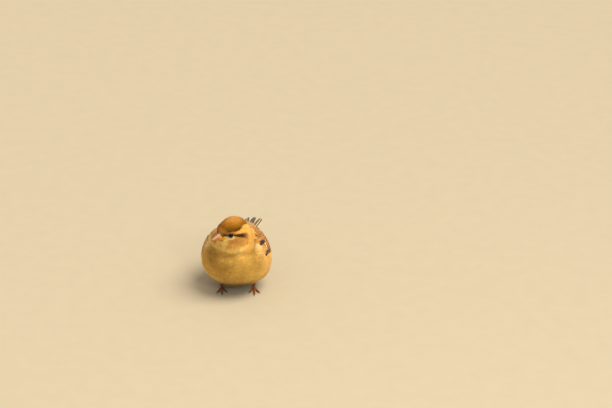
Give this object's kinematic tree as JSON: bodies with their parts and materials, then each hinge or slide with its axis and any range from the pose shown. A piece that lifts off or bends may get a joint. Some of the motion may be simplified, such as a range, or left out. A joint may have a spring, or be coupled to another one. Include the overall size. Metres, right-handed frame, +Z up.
{
  "type": "house sparrow",
  "caption": "Life-size still model of a female house sparrow fluffed up against the cold, standing on both feet with its head turned aside and its tail held level.",
  "frame": {"origin": "on the floor, under the middle of the bird's bounding box", "axes": "+Z up; the trunk points along -Y and the tail along +Y; +X is the bird's left"},
  "size_m": [0.0738, 0.1338, 0.091],
  "materials": {
    "plumage": "soft matt feathers, buff below and brown above",
    "quills": "matt vanes, dark brown with buff edges",
    "horn": "satin horn, pinkish with a yellow gape",
    "leg": "satin scales",
    "claw": "satin horn",
    "eye": "wet gloss"
  },
  "bodies": {
    "root": {"trunk": "plumage", "neck": "plumage", "head": "plumage", "thigh_left": "plumage", "thigh_right": "plumage", "wing_left": "quills", "wing_right": "quills", "tail": "quills", "bill_upper": "horn", "bill_lower": "horn", "eye_left": "eye", "eye_right": "eye", "tarsus_left": "leg", "tarsus_right": "leg", "foot_left": "leg", "foot_right": "leg", "claw_left_hind": "claw", "claw_left_inner": "claw", "claw_left_middle": "claw", "claw_left_outer": "claw", "claw_right_hind": "claw", "claw_right_inner": "claw", "claw_right_middle": "claw", "claw_right_outer": "claw"}
  },
  "joints": []
}
